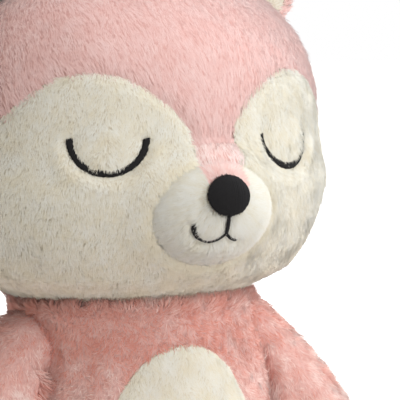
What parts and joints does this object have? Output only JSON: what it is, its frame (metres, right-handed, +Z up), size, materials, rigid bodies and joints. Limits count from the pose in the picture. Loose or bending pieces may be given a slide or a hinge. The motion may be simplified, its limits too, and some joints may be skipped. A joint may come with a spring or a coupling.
{
  "type": "plush fox",
  "caption": "Seated plush fox with a large pink and cream head, a rounded body with a cream belly, and soft limbs that swing at their seams.",
  "frame": {"origin": "middle of the flat of the seat, on the surface that the fox sits on", "axes": "+Z up, the fox faces -Y, and +X is its left side"},
  "size_m": [0.2694, 0.3361, 0.3404],
  "materials": {
    "pink_plush": "short soft pile",
    "cream_plush": "short soft pile",
    "black_thread": "satin stitch",
    "fibre": "loose fibre",
    "canvas": "plain weave"
  },
  "bodies": {
    "body": {"body_cover": "pink_plush", "belly_patch": "cream_plush", "body_filling": "fibre", "seat_pellet_bag": "canvas"},
    "head": {"head_cover": "pink_plush", "face_cover": "cream_plush", "chin_band": "pink_plush", "head_filling": "fibre", "eye_stitching_left": "black_thread", "eye_stitching_right": "black_thread", "muzzle": "cream_plush", "muzzle_bridge": "pink_plush", "nose": "black_thread", "mouth_stem_stitching": "black_thread", "smile_stitching_left": "black_thread", "smile_stitching_right": "black_thread"},
    "ear_left_body": {"ear_left": "pink_plush", "ear_lining_left": "cream_plush"},
    "ear_right_body": {"ear_right": "pink_plush", "ear_lining_right": "cream_plush"},
    "arm_left_body": {"arm_left": "pink_plush"},
    "arm_right_body": {"arm_right": "pink_plush"},
    "leg_left_body": {"leg_left": "pink_plush", "sole_left": "cream_plush"},
    "leg_right_body": {"leg_right": "pink_plush", "sole_right": "cream_plush"},
    "tail_body": {"tail": "pink_plush", "tail_tip": "cream_plush"}
  },
  "joints": [
    {"name": "neck_turn", "type": "hinge", "parent": "body", "child": "head", "pos_m": [0, 0, 0.15], "axis": [0, 0, 1], "range_deg": [-30, 30]},
    {"name": "ear_left_bend", "type": "hinge", "parent": "head", "child": "ear_left_body", "pos_m": [0.06, 0.001, 0.2898], "axis": [0.6428, 0.0801, -0.7618], "range_deg": [-15, 15]},
    {"name": "ear_right_bend", "type": "hinge", "parent": "head", "child": "ear_right_body", "pos_m": [-0.06, 0.001, 0.2898], "axis": [0.6428, -0.0801, 0.7618], "range_deg": [-15, 15]},
    {"name": "shoulder_left_swing", "type": "hinge", "parent": "body", "child": "arm_left_body", "pos_m": [0.057, -0.004, 0.127], "axis": [-1, 0, 0], "range_deg": [-40, 75]},
    {"name": "shoulder_right_swing", "type": "hinge", "parent": "body", "child": "arm_right_body", "pos_m": [-0.057, -0.004, 0.127], "axis": [-1, 0, 0], "range_deg": [-40, 75]},
    {"name": "hip_left_swing", "type": "hinge", "parent": "body", "child": "leg_left_body", "pos_m": [0.038, -0.058, 0.0265], "axis": [-1, 0, 0], "range_deg": [-20, 20]},
    {"name": "hip_right_swing", "type": "hinge", "parent": "body", "child": "leg_right_body", "pos_m": [-0.038, -0.058, 0.0265], "axis": [-1, 0, 0], "range_deg": [-20, 20]},
    {"name": "tail_swing", "type": "hinge", "parent": "body", "child": "tail_body", "pos_m": [0, 0.06, 0.032], "axis": [0, 0, 1], "range_deg": [-20, 20]}
  ]
}
